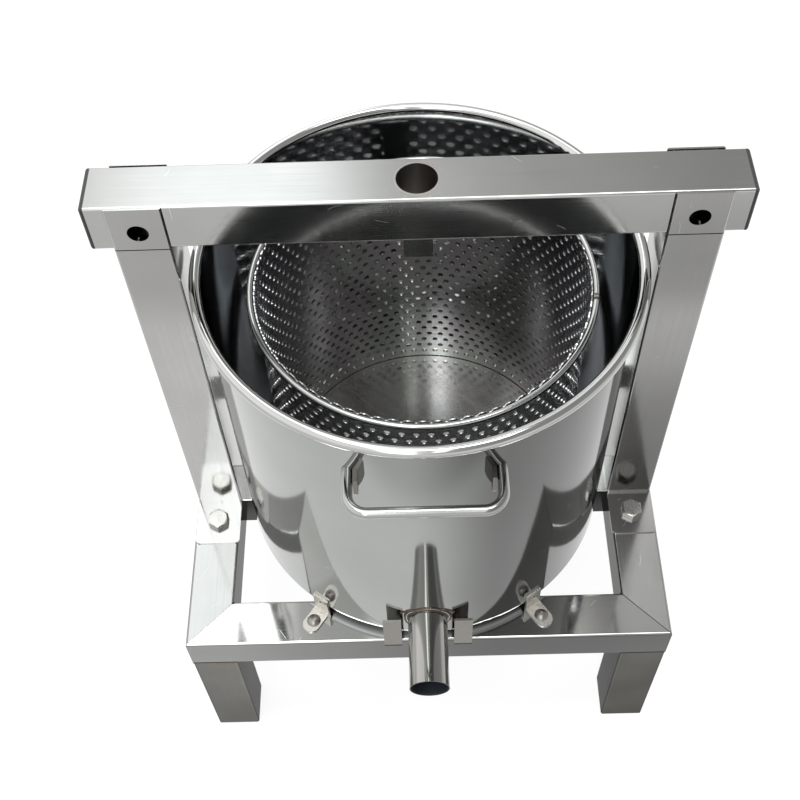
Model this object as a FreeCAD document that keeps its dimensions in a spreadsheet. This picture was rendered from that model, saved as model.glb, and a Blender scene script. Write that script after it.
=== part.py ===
import FreeCAD, Part
import math
import os
import re
import Sketcher
from FreeCAD import Placement, Rotation, Vector

# A stainless-steel honey press: a square-tube stand with a crossbeam that drops into two forks,
# a deep pot with a spout and two handles, and a perforated basket standing inside the pot.
# Millimetres, +Z up, front (spout side) at -Y. The origin lies on the ground at the middle of
# the footprint, so the pot's axis stands a little behind it, at y = axis_y.

# Driving dimensions. Each one is a cell of the sheet "Sizes" with its name as the alias.
SIZES = {
    # stand
    "rail_size": 40.0,
    "rail_wall": 1.5,
    "tube_corner": 2.0,
    "leg_length": 157.0,
    "end_plate_thickness": 2.0,
    # uprights, folded and welded from sheet, with two cheeks on top and a foot plate front and rear
    "upright_wall": 1.5,
    "upright_inset": 1.0,
    "fork_joint": 0.9,
    "rim_clearance": 2.4,
    "foot_length": 43.0,
    "foot_corner": 4.0,
    # hexagon bolts that hold the foot plates to the side rails
    "bolt_diameter": 10.0,
    "bolt_flats": 17.0,
    "bolt_head_height": 6.4,
    "bolt_chamfer": 1.2,
    "bolt_setback": 20.2,
    "bolt_tail": 3.0,
    "nut_height": 8.0,
    "washer_diameter": 20.0,
    "washer_thickness": 2.0,
    "hole_clearance": 0.25,
    # crossbeam
    "beam_size": 40.0,
    "beam_wall": 2.0,
    "beam_overhang": 13.0,
    "beam_clearance": 0.3,
    "beam_height": 40.5,
    "pin_hole_diameter": 15.0,
    "pin_hole_drop": 23.0,
    "cap_thickness": 3.0,
    "cap_depth": 12.0,
    "cap_wall": 2.0,
    "cap_gap": 0.2,
    "cap_edge": 1.2,
    "sleeve_bore": 28.8,
    "sleeve_wall": 1.6,
    "fit_gap": 0.05,
    "seat_width": 21.0,
    "seat_height": 29.0,
    "seat_chamfer": 1.5,
    # pot
    "pot_bore": 320.0,
    "pot_wall": 1.2,
    "pot_height": 314.0,
    "pot_corner": 15.0,
    "rim_roll": 8.6,
    "spout_diameter": 33.0,
    "spout_wall": 1.5,
    "spout_height": 40.0,
    "spout_projection": 61.8,
    "bead_length": 4.0,
    "bead_height": 3.0,
    "guide_gap": 45.0,
    "guide_width": 15.5,
    "guide_thickness": 2.0,
    "guide_height": 44.0,
    "guide_overlap": 5.0,
    "handle_rod": 8.0,
    "handle_width": 107.0,
    "handle_projection": 25.0,
    "handle_drop": 45.0,
    "handle_bend": 14.0,
    "lug_thickness": 3.0,
    "lug_height": 22.0,
    "lug_depth": 10.0,
    "lug_round": 5.0,
    # clips that hold the pot down on the front and rear rails
    "clip_angle": 34.75,
    "clip_width": 15.0,
    "clip_thickness": 2.0,
    "clip_foot": 25.2,
    "clip_leg": 25.0,
    "clip_hole": 3.0,
    "clip_hole_height": 18.5,
    "screw_offset": 14.0,
    "screw_diameter": 6.0,
    "screw_length": 12.0,
    "screw_head": 12.0,
    "screw_head_height": 3.6,
    "screw_socket": 4.0,
    "screw_socket_depth": 2.0,
    # basket
    "basket_diameter": 255.0,
    "basket_wall": 1.0,
    "basket_height": 266.0,
    "basket_plate": 1.2,
    "basket_flange": 14.0,
    "basket_rod": 5.0,
    "basket_rod_drop": 2.0,
    "basket_rod_gap": 0.5,
    "basket_stand": 16.0,
    "basket_share_x": 0.0875,
    "basket_share_y": 0.157,
    "stand_diameter": 10.0,
    "stand_radius": 95.0,
    "seam_width": 14.0,
    "seam_thickness": 0.8,
    "seam_margin": 4.0,
    "seam_turn": 6.0,
}

# Dimensions worked out from the driving ones.
DERIVED = {
    "axis_y": "(spout_projection - handle_projection - handle_rod / 2) / 2",
    "rail_top": "leg_length + rail_size",
    "rail_bore": "rail_size - 2 * rail_wall",
    "upright_width": "rail_size",
    "upright_x": "pot_bore / 2 + rim_roll + rim_clearance + upright_width / 2",
    "side_rail_x": "upright_x + upright_inset",
    "end_rail_y": "screw_r * cos(clip_angle)",
    "frame_width": "2 * side_rail_x + rail_size",
    "frame_depth": "2 * end_rail_y + rail_size",
    "fork_gap": "beam_size + 2 * beam_clearance",
    "upright_depth": "fork_gap + 2 * upright_wall",
    "upright_height": "pot_height + beam_height",
    "saddle_top": "rail_top + upright_height",
    "foot_end": "upright_depth / 2 + foot_length",
    "bolt_y": "upright_depth / 2 + bolt_setback",
    "bolt_hole": "bolt_diameter + 2 * hole_clearance",
    "beam_top": "saddle_top + beam_size",
    "pin_z": "beam_top - pin_hole_drop",
    "beam_length": "2 * upright_x + upright_width + 2 * beam_overhang",
    "beam_bore": "beam_size - 2 * beam_wall",
    "cap_plug": "beam_bore - 2 * cap_gap",
    "sleeve_outside": "sleeve_bore + 2 * sleeve_wall",
    "pot_outside": "pot_bore / 2 + pot_wall",
    "roll_z": "pot_height - rim_roll / 2",
    "roll_r": "pot_bore / 2 + rim_roll / 2",
    "spout_hole": "spout_diameter + 2 * fit_gap",
    "handle_y": "pot_outside + handle_projection",
    "handle_z": "rail_top + pot_height - handle_drop",
    "handle_root": "sqrt(pot_outside^2 - (handle_width / 2 + handle_rod / 2)^2) - handle_rod",
    "lug_x": "(handle_width - handle_rod) / 2",
    "lug_y": "sqrt(pot_outside^2 - lug_x^2)",
    "screw_r": "pot_outside + screw_offset",
    "screw_hole": "screw_diameter + 2 * fit_gap",
    "basket_outside": "basket_diameter / 2",
    "basket_play": "pot_bore / 2 - basket_outside - basket_rod",
    "basket_x": "basket_play * basket_share_x",
    "basket_y": "basket_play * basket_share_y",
    "basket_z": "rail_top + pot_wall + basket_stand",
    "basket_rod_z": "basket_height - basket_rod_drop",
}

BOTH_WAYS = "Symmetric"

doc = FreeCAD.newDocument("HoneyPress")
sheet = doc.addObject("Spreadsheet::Sheet", "Sizes")
for row, (alias, number) in enumerate(SIZES.items(), start=1):
    sheet.set(f"A{row}", alias)
    sheet.set(f"B{row}", str(number))
    sheet.setAlias(f"B{row}", alias)
doc.recompute()

sub_parts = []


def expression(text):
    """The text with each name of a size replaced by its cell, and each derived name worked out."""
    def cell(match):
        word = match.group(0)
        if word in DERIVED:
            return f"({expression(DERIVED[word])})"
        return f"Sizes.{word}" if word in SIZES else word
    return re.sub(r"[a-z_]+", cell, str(text))


def value(text):
    """What an expression comes to now, as a plain number."""
    return float(sheet.evalExpression(expression(text)))


def tie(item, name, text):
    """Bind one property of an object to an expression."""
    item.setExpression(name, expression(text))


def place(item, x="0", y="0", z="0", turn="0", axis=Vector(0, 0, 1)):
    """Stand a sub-part at a place measured from the pot's axis, turned about an axis."""
    item.Placement = Placement(Vector(value(x), value(f"axis_y + {y}"), value(z)),
                               Rotation(axis, value(turn)))
    tie(item, "Placement.Base.x", x)
    tie(item, "Placement.Base.y", f"axis_y + {y}")
    tie(item, "Placement.Base.z", z)
    tie(item, "Placement.Rotation.Angle", turn)


def keep(item, label):
    """Name a finished sub-part."""
    item.Label = label
    sub_parts.append(item)
    return item


# Sketches and features of a PartDesign body


def new_body(label):
    """A body that becomes the sub-part with this name."""
    body = doc.addObject("PartDesign::Body", label)
    return keep(body, label)


def new_sketch(body, plane, offset="0"):
    """A sketch on one of the body's own planes, moved along that plane's normal."""
    sketch = body.newObject("Sketcher::SketchObject", "Sketch")
    support = [item for item in body.Origin.OriginFeatures if item.Role == f"{plane}_Plane"]
    sketch.AttachmentSupport = [(support[0], "")]
    sketch.MapMode = "FlatFace"
    tie(sketch, "AttachmentOffset.Base.z", offset)
    return sketch


def fix(sketch, kind, target, text):
    """Add a driving dimension from the sketch's origin to a point, or of a curve."""
    number = sketch.addConstraint(Sketcher.Constraint(kind, *target, value(text)))
    tie(sketch, f"Constraints[{number}]", text)


def draw(sketch, corners, arcs=None, closed=True):
    """Draw the outline through corners, which are pairs of expressions.

    arcs gives the sides that are arcs: side number to (centre x, centre y, turns left or not).
    """
    arcs = arcs or {}
    points = [Vector(value(x), value(y), 0) for x, y in corners]
    sides = len(points) if closed else len(points) - 1
    first = sketch.GeometryCount
    ends = []
    for side in range(sides):
        start, end = points[side], points[(side + 1) % len(points)]
        if side not in arcs:
            sketch.addGeometry(Part.LineSegment(start, end), False)
            ends.append((1, 2))
            continue
        x, y, turns_left = arcs[side]
        centre = Vector(value(x), value(y), 0)
        low, high = (start, end) if turns_left else (end, start)
        angles = [math.atan2(p.y - centre.y, p.x - centre.x) for p in (low, high)]
        circle = Part.Circle(centre, Vector(0, 0, 1), (start - centre).Length)
        sketch.addGeometry(Part.ArcOfCircle(circle, *angles), False)
        ends.append((1, 2) if turns_left else (2, 1))
    for side in range(sides - (0 if closed else 1)):
        following = (side + 1) % sides
        sketch.addConstraint(Sketcher.Constraint(
            "Coincident", first + side, ends[side][1], first + following, ends[following][0]))
    for side in range(sides):
        fix(sketch, "DistanceX", (-1, 1, first + side, ends[side][0]), corners[side][0])
        fix(sketch, "DistanceY", (-1, 1, first + side, ends[side][0]), corners[side][1])
    if not closed:
        last = (-1, 1, first + sides - 1, ends[-1][1])
        fix(sketch, "DistanceX", last, corners[-1][0])
        fix(sketch, "DistanceY", last, corners[-1][1])
    for side, (x, y, _) in arcs.items():
        chord = points[(side + 1) % len(points)] - points[side]
        across = abs(chord.x) >= abs(chord.y)
        kind, text = ("DistanceY", y) if across else ("DistanceX", x)
        fix(sketch, kind, (-1, 1, first + side, 3), text)


def rectangle(sketch, low_x, low_y, high_x, high_y):
    """Draw a rectangle between two corners."""
    draw(sketch, [(low_x, low_y), (high_x, low_y), (high_x, high_y), (low_x, high_y)])


def square(sketch, side):
    """Draw a square about the sketch's origin."""
    half = f"({side}) / 2"
    rectangle(sketch, f"-{half}", f"-{half}", half, half)


def circle(sketch, diameter, x="0", y="0"):
    """Draw a circle."""
    curve = Part.Circle(Vector(value(x), value(y), 0), Vector(0, 0, 1), value(diameter) / 2)
    number = sketch.addGeometry(curve, False)
    fix(sketch, "DistanceX", (-1, 1, number, 3), x)
    fix(sketch, "DistanceY", (-1, 1, number, 3), y)
    fix(sketch, "Diameter", (number,), diameter)


def hexagon(sketch, flats):
    """Draw a hexagon with its flats facing along X, by its width across flats."""
    half = f"({flats}) / 2"
    low = f"({flats}) / (2 * sqrt(3))"
    tip = f"({flats}) / sqrt(3)"
    draw(sketch, [(half, f"-{low}"), (half, low), ("0", tip),
                  (f"-{half}", low), (f"-{half}", f"-{low}"), ("0", f"-{tip}")])


def pad(body, sketch, length, side="One side"):
    """Extrude a sketch along its normal, or evenly both ways."""
    feature = body.newObject("PartDesign::Pad", "Pad")
    feature.Profile = sketch
    feature.SideType = side
    tie(feature, "Length", length)
    doc.recompute()
    return feature


def cut(body, sketch, side="One side", forward=False):
    """Cut a sketch through the body: both ways, against its normal or, if forward, along it."""
    before = body.Shape.Volume
    feature = body.newObject("PartDesign::Pocket", "Pocket")
    feature.Profile = sketch
    feature.Type = "ThroughAll"
    feature.SideType = side
    feature.Reversed = forward
    doc.recompute()
    check_removed(body, feature, before)
    return feature


def check_removed(body, feature, before):
    """Stop if a cut has taken nothing away."""
    if body.Shape.Volume > before - 1e-3:
        raise RuntimeError(f"{body.Label}: {feature.Name} cuts nothing")


def revolve(body, sketch, axis="V_Axis", angle=None):
    """Turn a sketch about one of its axes, fully or evenly to both sides of its plane."""
    feature = body.newObject("PartDesign::Revolution", "Revolution")
    feature.Profile = sketch
    feature.ReferenceAxis = (sketch, [axis])
    if angle:
        feature.Midplane = True
        tie(feature, "Angle", angle)
    doc.recompute()
    return feature


def round_edges(body, radius, chosen, kind="Fillet"):
    """Fillet or chamfer the edges of the body's shape for which chosen(edge) is true."""
    base = body.Tip
    names = [f"Edge{number}" for number, edge in enumerate(base.Shape.Edges, start=1)
             if chosen(edge)]
    if not names:
        raise RuntimeError(f"{body.Label}: no edge to round")
    feature = body.newObject(f"PartDesign::{kind}", kind)
    feature.Base = (base, names)
    tie(feature, "Radius" if kind == "Fillet" else "Size", radius)
    doc.recompute()
    return feature


def runs_along(edge, direction):
    """Whether a straight edge runs along a direction."""
    if not isinstance(edge.Curve, Part.Line):
        return False
    return abs(edge.Curve.Direction.dot(direction)) > 0.999


def lies_at(edge, axis, text):
    """Whether the middle of an edge's box has this coordinate on this axis."""
    return abs(getattr(edge.BoundBox.Center, axis) - value(text)) < 1e-3


# Copies in a group: the same fastener at each corner


def mirrored(source, normal, x="0", y="0"):
    """A mirror image of a shape in a vertical plane through a place measured from the pot's axis."""
    image = doc.addObject("Part::Mirroring", "Mirror")
    image.Source = source
    image.Normal = normal
    tie(image, "Base.x", x)
    tie(image, "Base.y", f"axis_y + {y}")
    return image


def group(label, items):
    """One sub-part of several separate solids."""
    compound = doc.addObject("Part::Compound", label)
    compound.Links = items
    return keep(compound, label)


def at_four_corners(label, source, x="0", y="0"):
    """One sub-part of a solid and its images to the right, to the rear and to both."""
    right = mirrored(source, Vector(1, 0, 0), x, y)
    rear = mirrored(source, Vector(0, 1, 0), x, y)
    both = mirrored(right, Vector(0, 1, 0), x, y)
    return group(label, [source, right, rear, both])


def loose_body(name):
    """A body that is the source of a group, and no sub-part itself."""
    return doc.addObject("PartDesign::Body", name)


# Square tube


def square_tube(label, size, wall, length, mitred=False):
    """A square tube along X about the body's origin, with its long side towards -Y if mitred."""
    body = new_body(label)
    outside = new_sketch(body, "YZ")
    square(outside, size)
    pad(body, outside, length, BOTH_WAYS)
    round_edges(body, "tube_corner", lambda edge: runs_along(edge, Vector(1, 0, 0)))
    bore = new_sketch(body, "YZ")
    square(bore, f"{size} - 2 * {wall}")
    cut(body, bore, BOTH_WAYS)
    if mitred:
        corners = new_sketch(body, "XY")
        end, inside = f"{length} / 2", f"{size} / 2"
        for sign in ("", "-"):
            draw(corners, [(f"{sign}{end}", f"-{inside}"), (f"{sign}{end}", inside),
                           (f"{sign}({end} - {size})", inside)])
        cut(body, corners, BOTH_WAYS)
    return body


def drill(body, plane, diameter, places, side=BOTH_WAYS, forward=False):
    """Drill holes of one size through the body, at places on one of its planes."""
    sketch = new_sketch(body, plane)
    for x, y in places:
        circle(sketch, diameter, x, y)
    cut(body, sketch, side, forward)


def make_base():
    """Four mitred rails with a cross rail between them, on four legs."""
    middle = "leg_length + rail_size / 2"
    screw_x = "screw_r * sin(clip_angle)"
    for label, y, turn in (("front_rail", "-end_rail_y", "0"), ("rear_rail", "end_rail_y", "180")):
        rail = square_tube(label, "rail_size", "rail_wall", "frame_width", mitred=True)
        drill(rail, "XY", "screw_hole", [(screw_x, "0"), (f"-{screw_x}", "0")],
              side="One side", forward=True)
        place(rail, y=y, z=middle, turn=turn)
    for label, x, turn in (("right_rail", "side_rail_x", "90"), ("left_rail", "-side_rail_x", "270")):
        rail = square_tube(label, "rail_size", "rail_wall", "frame_depth", mitred=True)
        drill(rail, "XY", "bolt_hole", [("bolt_y", "upright_inset"), ("-bolt_y", "upright_inset")])
        place(rail, x=x, z=middle, turn=turn)
    cross = square_tube("cross_rail", "rail_size", "rail_wall", "frame_width - 2 * rail_size")
    place(cross, z=middle)
    for end, y in (("front", "-end_rail_y"), ("rear", "end_rail_y")):
        for side, x in (("left", "-side_rail_x"), ("right", "side_rail_x")):
            leg = square_tube(f"{end}_{side}_leg", "rail_size", "rail_wall", "leg_length")
            place(leg, x=x, y=y, z="leg_length / 2", turn="90", axis=Vector(0, 1, 0))
    plate = loose_body("EndPlate")
    outline = new_sketch(plate, "XY")
    square(outline, "rail_bore - 2 * fit_gap")
    pad(plate, outline, "end_plate_thickness")
    place(plate, x="-side_rail_x", y="-end_rail_y")
    at_four_corners("leg_end_plates", plate)


def make_upright(label, x):
    """A box-section post whose front and rear walls are folded out at the bottom as foot plates."""
    post = new_body(label)
    half_width, half_depth = "upright_width / 2", "upright_depth / 2"
    section = new_sketch(post, "XY", "rail_top")
    rectangle(section, f"-{half_width}", f"-{half_depth}", half_width, half_depth)
    pad(post, section, "upright_height")
    round_edges(post, "tube_corner", lambda edge: runs_along(edge, Vector(0, 0, 1)))
    bore = new_sketch(post, "XY")
    bore_x = f"({half_width} - upright_wall)"
    rectangle(bore, f"-{bore_x}", "-fork_gap / 2", bore_x, "fork_gap / 2")
    cut(post, bore, BOTH_WAYS)
    feet = new_sketch(post, "XY", "rail_top")
    rectangle(feet, f"-{half_width}", "-foot_end", half_width, "-fork_gap / 2")
    rectangle(feet, f"-{half_width}", "fork_gap / 2", half_width, "foot_end")
    pad(post, feet, "upright_wall")
    round_edges(post, "foot_corner", lambda edge: runs_along(edge, Vector(0, 0, 1))
                and (lies_at(edge, "y", "foot_end") or lies_at(edge, "y", "-foot_end")))
    holes = new_sketch(post, "XY", "rail_top + upright_wall")
    for y in ("-bolt_y", "bolt_y"):
        circle(holes, "bolt_hole", y=y)
    cut(post, holes)
    place(post, x=x)


def make_fork(label, x):
    """Two cheeks welded on a post's front and rear walls, with the crossbeam between them."""
    cheek = loose_body("Cheek")
    half_width, half_depth = "upright_width / 2", "upright_depth / 2"
    section = new_sketch(cheek, "XY", "saddle_top + fork_joint")
    rectangle(section, f"-{half_width}", f"-{half_depth}", half_width, half_depth)
    pad(cheek, section, "beam_size - fork_joint")
    round_edges(cheek, "tube_corner", lambda edge: runs_along(edge, Vector(0, 0, 1)))
    behind = new_sketch(cheek, "XY")
    rectangle(behind, f"-{half_width} - 1", "-fork_gap / 2", f"{half_width} + 1", f"{half_depth} + 1")
    cut(cheek, behind, BOTH_WAYS)
    drill(cheek, "XZ", "pin_hole_diameter", [("0", "pin_z")])
    place(cheek, x=x)
    group(label, [cheek, mirrored(cheek, Vector(0, 1, 0))])


def make_foot_bolts():
    """Four hexagon bolts down through the foot plates and side rails, with washers and nuts."""
    under_head = "rail_top + upright_wall"
    bolt = loose_body("Bolt")
    head = new_sketch(bolt, "XY")
    hexagon(head, "bolt_flats")
    pad(bolt, head, "bolt_head_height")
    corner = new_sketch(bolt, "XZ")
    draw(corner, [("bolt_flats / 2 - bolt_chamfer / 2", "bolt_head_height + 1"),
                  ("bolt_flats", "bolt_head_height + 1"),
                  ("bolt_flats", "bolt_head_height - bolt_flats * 0.25"),
                  ("bolt_flats / 2 - bolt_chamfer / 2", "bolt_head_height")])
    before = bolt.Shape.Volume
    chamfer = bolt.newObject("PartDesign::Groove", "Groove")
    chamfer.Profile = corner
    chamfer.ReferenceAxis = (corner, ["V_Axis"])
    doc.recompute()
    check_removed(bolt, chamfer, before)
    shank = new_sketch(bolt, "XY", f"leg_length - washer_thickness - nut_height - bolt_tail - ({under_head})")
    circle(shank, "bolt_diameter")
    pad(bolt, shank, f"{under_head} + washer_thickness + nut_height + bolt_tail - leg_length")
    place(bolt, x="-upright_x", y="-bolt_y", z=under_head)
    at_four_corners("foot_bolts", bolt)

    washer = loose_body("Washer")
    ring = new_sketch(washer, "XY")
    circle(ring, "washer_diameter")
    circle(ring, "bolt_hole")
    pad(washer, ring, "washer_thickness")
    place(washer, x="-upright_x", y="-bolt_y", z="leg_length - washer_thickness")
    at_four_corners("foot_washers", washer)

    nut = loose_body("Nut")
    outline = new_sketch(nut, "XY")
    hexagon(outline, "bolt_flats")
    circle(outline, "bolt_diameter + 2 * fit_gap")
    pad(nut, outline, "nut_height")
    place(nut, x="-upright_x", y="-bolt_y", z="leg_length - washer_thickness - nut_height")
    at_four_corners("foot_nuts", nut)


def make_crossbeam():
    """The square tube that lies in the forks, with end caps, a sleeve and a seat for the ram."""
    beam = square_tube("crossbeam", "beam_size", "beam_wall", "beam_length")
    pin_z = "beam_size / 2 - pin_hole_drop"
    drill(beam, "XZ", "pin_hole_diameter", [("-upright_x", pin_z), ("upright_x", pin_z)])
    drill(beam, "XY", "sleeve_outside + 2 * fit_gap", [("0", "0")], side="One side", forward=True)
    place(beam, z="saddle_top + beam_size / 2")

    for label, x, turn in (("left_end_cap", "-beam_length / 2", "180"),
                           ("right_end_cap", "beam_length / 2", "0")):
        cap = new_body(label)
        face = new_sketch(cap, "YZ")
        square(face, "beam_size")
        pad(cap, face, "cap_thickness")
        round_edges(cap, "tube_corner", lambda edge: runs_along(edge, Vector(1, 0, 0)))
        round_edges(cap, "cap_edge", lambda edge: lies_at(edge, "x", "cap_thickness"), "Chamfer")
        plug = new_sketch(cap, "YZ", "-cap_depth")
        square(plug, "cap_plug")
        square(plug, "cap_plug - 2 * cap_wall")
        pad(cap, plug, "cap_depth")
        place(cap, x=x, z="saddle_top + beam_size / 2", turn=turn)

    sleeve = new_body("ram_sleeve")
    ring = new_sketch(sleeve, "XY")
    circle(ring, "sleeve_outside")
    circle(ring, "sleeve_bore")
    pad(sleeve, ring, "beam_size - beam_wall")
    place(sleeve, z="saddle_top + beam_wall")

    seat = new_body("ram_seat")
    outline = new_sketch(seat, "XY")
    square(outline, "seat_width")
    pad(seat, outline, "seat_height")
    round_edges(seat, "seat_chamfer", lambda edge: lies_at(edge, "z", "0"), kind="Chamfer")
    place(seat, z="saddle_top - seat_height")


def trim_to_pot(body):
    """Cut off what a piece has inside the pot's outer face, so that it seats on the wall."""
    outline = new_sketch(body, "XY")
    circle(outline, "2 * (pot_outside + fit_gap)")
    cut(body, outline, BOTH_WAYS)


def make_pot():
    """A deep drawn pot: a flat floor, a rounded lower corner, a straight wall and a rolled rim."""
    pot = new_body("pot")
    wall = new_sketch(pot, "XZ")
    draw(wall, [("0", "0"), ("pot_outside", "0"), ("pot_outside", "roll_z"),
                ("pot_bore / 2", "roll_z"), ("pot_bore / 2", "pot_wall"), ("0", "pot_wall")])
    revolve(pot, wall)
    round_edges(pot, "pot_corner", lambda edge: edge.BoundBox.XLength > value("pot_bore + pot_wall")
                and lies_at(edge, "z", "0"))
    round_edges(pot, "pot_corner - pot_wall",
                lambda edge: edge.BoundBox.XLength > value("pot_bore - pot_wall")
                and lies_at(edge, "z", "pot_wall"))
    roll = new_sketch(pot, "XZ")
    centre = ("roll_r", "roll_z")
    inner = "(rim_roll / 2 - pot_wall)"
    draw(roll, [("pot_outside", "roll_z"), ("pot_bore / 2", "roll_z"),
                ("roll_r", "roll_z - rim_roll / 2"), ("roll_r", f"roll_z - {inner}")],
         arcs={1: (*centre, False), 3: (*centre, True)})
    revolve(pot, roll)
    mouth = new_sketch(pot, "XZ")
    circle(mouth, "spout_hole", y="spout_height")
    cut(pot, mouth, forward=True)
    place(pot, z="rail_top")


def make_spout():
    """The outlet tube through the front of the pot, flush inside, with its weld bead."""
    spout = new_body("spout")
    start = "pot_bore / 2 - spout_diameter / 4"
    ring = new_sketch(spout, "XZ", start)
    circle(ring, "spout_diameter")
    circle(ring, "spout_diameter - 2 * spout_wall")
    pad(spout, ring, f"pot_outside + spout_projection - ({start})")
    flush = new_sketch(spout, "XY")
    circle(flush, "pot_bore")
    cut(spout, flush, BOTH_WAYS)
    place(spout, z="rail_top + spout_height")

    bead = new_body("spout_weld")
    profile = new_sketch(bead, "YZ")
    inside = "spout_diameter / 2 + fit_gap"
    back, front = "-(pot_outside - bead_length)", "-(pot_outside + bead_length)"
    draw(profile, [(back, inside), (front, inside),
                   ("-(pot_outside + bead_length / 3)", f"{inside} + bead_height"),
                   (back, f"{inside} + bead_height")])
    revolve(bead, profile, axis="H_Axis")
    trim_to_pot(bead)
    place(bead, z="rail_top + spout_height")

    for label, sign in (("left_spout_guide", "-"), ("right_spout_guide", "")):
        guide = new_body(label)
        face = new_sketch(guide, "XZ", "frame_depth / 2")
        near, far = f"{sign}guide_gap / 2", f"{sign}(guide_gap / 2 + guide_width)"
        rectangle(face, near, "rail_top - guide_overlap", far, "rail_top + guide_height")
        pad(guide, face, "guide_thickness")
        place(guide)


def make_handles():
    """Two bent-rod handles, front and rear, each welded to the wall and to a lug at either end."""
    half = "handle_width / 2"
    for label, turn in (("front_handle", "0"), ("rear_handle", "180")):
        handle = new_body(label)
        path = new_sketch(handle, "XY")
        bend_x, bend_y = f"({half} - handle_bend)", "-(handle_y - handle_bend)"
        draw(path, [(f"-{half}", "-handle_root"), (f"-{half}", bend_y), (f"-{bend_x}", "-handle_y"),
                    (bend_x, "-handle_y"), (half, bend_y), (half, "-handle_root")],
             arcs={1: (f"-{bend_x}", bend_y, True), 3: (bend_x, bend_y, True)}, closed=False)
        section = new_sketch(handle, "XZ", "handle_root")
        circle(section, "handle_rod", x=f"-{half}")
        rod = handle.newObject("PartDesign::AdditivePipe", "Pipe")
        rod.Profile = section
        rod.Spine = path
        doc.recompute()
        trim_to_pot(handle)
        place(handle, z="handle_z", turn=turn)

    lug = loose_body("Lug")
    side = new_sketch(lug, "YZ", "lug_x - lug_thickness")
    outer, foot = "-(lug_y + lug_depth)", "(handle_rod / 2 - lug_height)"
    draw(side, [("-lug_y + lug_depth", "handle_rod / 2"), (outer, "handle_rod / 2"),
                (outer, f"{foot} + lug_round"), (f"{outer} + lug_round", foot),
                ("-lug_y + lug_depth", foot)],
         arcs={2: (f"{outer} + lug_round", f"{foot} + lug_round", True)})
    pad(lug, side, "lug_thickness")
    trim_to_pot(lug)
    place(lug, z="handle_z")
    at_four_corners("handle_lugs", lug)


def make_clips():
    """Four angle clips round the pot's foot, each screwed to a rail."""
    turns = {"front_left": "-clip_angle", "front_right": "clip_angle",
             "rear_left": "180 + clip_angle", "rear_right": "180 - clip_angle"}
    half = "clip_width / 2"
    for corner, turn in turns.items():
        clip = new_body(f"{corner}_clip")
        foot = new_sketch(clip, "XY", "rail_top")
        seat, round_y = "-(pot_outside + fit_gap)", f"-(pot_outside + clip_foot - {half})"
        draw(foot, [(f"-{half}", seat), (f"-{half}", round_y), (half, round_y), (half, seat)],
             arcs={1: ("0", round_y, True)})
        pad(clip, foot, "clip_thickness")
        leg = new_sketch(clip, "XY", "rail_top")
        rectangle(leg, f"-{half}", f"{seat} - clip_thickness", half, seat)
        pad(clip, leg, "clip_leg")
        drill(clip, "XZ", "clip_hole", [("0", "rail_top + clip_hole_height")])
        drill(clip, "XY", "screw_diameter + 2 * hole_clearance", [("0", "-screw_r")])
        place(clip, turn=turn)

    screw = loose_body("Screw")
    shank = new_sketch(screw, "XY", "-screw_length")
    circle(shank, "screw_diameter")
    pad(screw, shank, "screw_length")
    head = new_sketch(screw, "XZ")
    edge, top = "screw_head / 2", "screw_head_height"
    ball = f"(({edge})^2 + {top}^2) / (2 * {top})"
    draw(head, [("0", "0"), (edge, "0"), ("0", top)],
         arcs={1: ("0", f"{top} - {ball}", True)})
    revolve(screw, head)
    socket = new_sketch(screw, "XY", f"{top} - screw_socket_depth")
    hexagon(socket, "screw_socket")
    cut(screw, socket, forward=True)
    place(screw, x="-screw_r * sin(clip_angle)", y="-screw_r * cos(clip_angle)",
          z="rail_top + clip_thickness")
    at_four_corners("clip_screws", screw)


def make_basket():
    """The basket: a rolled sheet with a lap seam, a rod round its mouth, a floor and four feet.

    It stands loosely in the pot, a little to the right of its axis and behind it.
    """
    wall = new_body("basket_wall")
    ring = new_sketch(wall, "XY", "basket_plate")
    circle(ring, "basket_diameter")
    circle(ring, "basket_diameter - 2 * basket_wall")
    pad(wall, ring, "basket_height - basket_plate")
    place(wall, "basket_x", "basket_y", "basket_z")

    floor = new_body("basket_floor")
    profile = new_sketch(floor, "XZ")
    lip = "(basket_outside + fit_gap)"
    draw(profile, [("0", "0"), (f"{lip} + basket_wall", "0"), (f"{lip} + basket_wall", "basket_flange"),
                   (lip, "basket_flange"), (lip, "basket_plate"), ("0", "basket_plate")])
    revolve(floor, profile)
    place(floor, "basket_x", "basket_y", "basket_z")

    rod = doc.addObject("Part::Torus", "BasketRod")
    tie(rod, "Radius1", "basket_outside + basket_rod_gap + basket_rod / 2")
    tie(rod, "Radius2", "basket_rod / 2")
    place(rod, "basket_x", "basket_y", "basket_z + basket_rod_z")
    keep(rod, "basket_rim")

    seam = new_body("basket_seam")
    strip = new_sketch(seam, "YZ")
    rectangle(strip, "basket_outside + fit_gap", "basket_flange + seam_margin",
              "basket_outside + fit_gap + seam_thickness",
              "basket_rod_z - basket_rod / 2 - seam_margin")
    revolve(seam, strip, angle="seam_width / basket_outside * 180 / pi")
    place(seam, "basket_x", "basket_y", "basket_z", turn="seam_turn")

    foot = loose_body("BasketFoot")
    section = new_sketch(foot, "XY")
    circle(section, "stand_diameter")
    pad(foot, section, "basket_stand")
    place(foot, x="basket_x - stand_radius / sqrt(2)", y="basket_y - stand_radius / sqrt(2)",
          z="rail_top + pot_wall")
    at_four_corners("basket_feet", foot, "basket_x", "basket_y")


def check(item):
    """Stop if an object has failed or has no sound shape."""
    if {"Invalid", "Error"} & set(item.State):
        raise RuntimeError(f"{item.Label}: {item.State}")
    shape = getattr(item, "Shape", None)
    if item in sub_parts and (shape is None or shape.isNull() or not shape.isValid()):
        raise RuntimeError(f"{item.Label}: no sound shape")


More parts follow.
